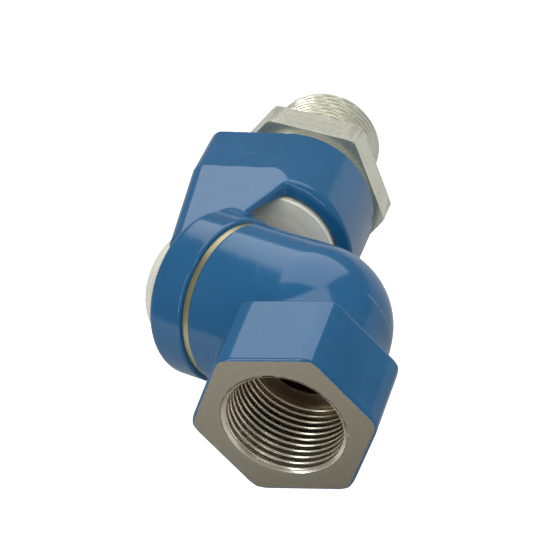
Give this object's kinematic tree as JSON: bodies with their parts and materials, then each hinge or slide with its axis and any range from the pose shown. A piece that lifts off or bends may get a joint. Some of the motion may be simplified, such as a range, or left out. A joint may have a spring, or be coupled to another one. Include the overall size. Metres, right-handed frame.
{
  "type": "gas swivel connector",
  "caption": "Angled gas pipe connector: a hexagonal female socket and a threaded male nipple, joined by two swivel joints and a link between them.",
  "frame": {"origin": "centre of the socket's mouth, in the plane of the socket's machined face", "axes": "-Y out of the socket along its thread axis, +Z square to one flat of the socket's hexagon, +X to the right seen from the mouth; the part is drawn as pictured, with the link turned 15 degrees down about the knuckle axis"},
  "size_m": [0.0667, 0.1278, 0.0533],
  "materials": {
    "socket_body": "gloss",
    "link_body": "gloss",
    "male_nipple": "satin",
    "knuckle_thrust_washer": "satin",
    "knuckle_dust_seal": "matte",
    "knuckle_inner_seal": "matte",
    "knuckle_outer_seal": "matte",
    "knuckle_end_washer": "satin",
    "knuckle_retaining_ring": "satin",
    "knuckle_cap": "satin",
    "nipple_thrust_washer": "satin",
    "nipple_dust_seal": "matte",
    "nipple_upper_bush": "satin",
    "nipple_upper_seal": "matte",
    "nipple_lower_seal": "matte",
    "nipple_lower_bush": "satin",
    "nipple_end_washer": "satin",
    "nipple_retaining_ring": "satin",
    "nipple_cap": "satin"
  },
  "bodies": {
    "socket": {"socket_body": "socket_body", "knuckle_thrust_washer": "knuckle_thrust_washer", "knuckle_dust_seal": "knuckle_dust_seal", "knuckle_inner_seal": "knuckle_inner_seal", "knuckle_outer_seal": "knuckle_outer_seal", "knuckle_end_washer": "knuckle_end_washer", "knuckle_retaining_ring": "knuckle_retaining_ring", "knuckle_cap": "knuckle_cap"},
    "link": {"link_body": "link_body", "nipple_upper_bush": "nipple_upper_bush", "nipple_lower_bush": "nipple_lower_bush"},
    "nipple": {"male_nipple": "male_nipple", "nipple_thrust_washer": "nipple_thrust_washer", "nipple_dust_seal": "nipple_dust_seal", "nipple_upper_seal": "nipple_upper_seal", "nipple_lower_seal": "nipple_lower_seal", "nipple_end_washer": "nipple_end_washer", "nipple_retaining_ring": "nipple_retaining_ring", "nipple_cap": "nipple_cap"}
  },
  "joints": [
    {"name": "knuckle_swivel", "type": "hinge", "parent": "socket", "child": "link", "pos_m": [0, 0.0312, 0], "axis": [-0.9239, 0.3827, 0], "continuous": true},
    {"name": "nipple_swivel", "type": "hinge", "parent": "link", "child": "nipple", "pos_m": [-0.01986, 0.03943, 0], "axis": [-0.0987, 0.9683, -0.2296], "continuous": true}
  ]
}
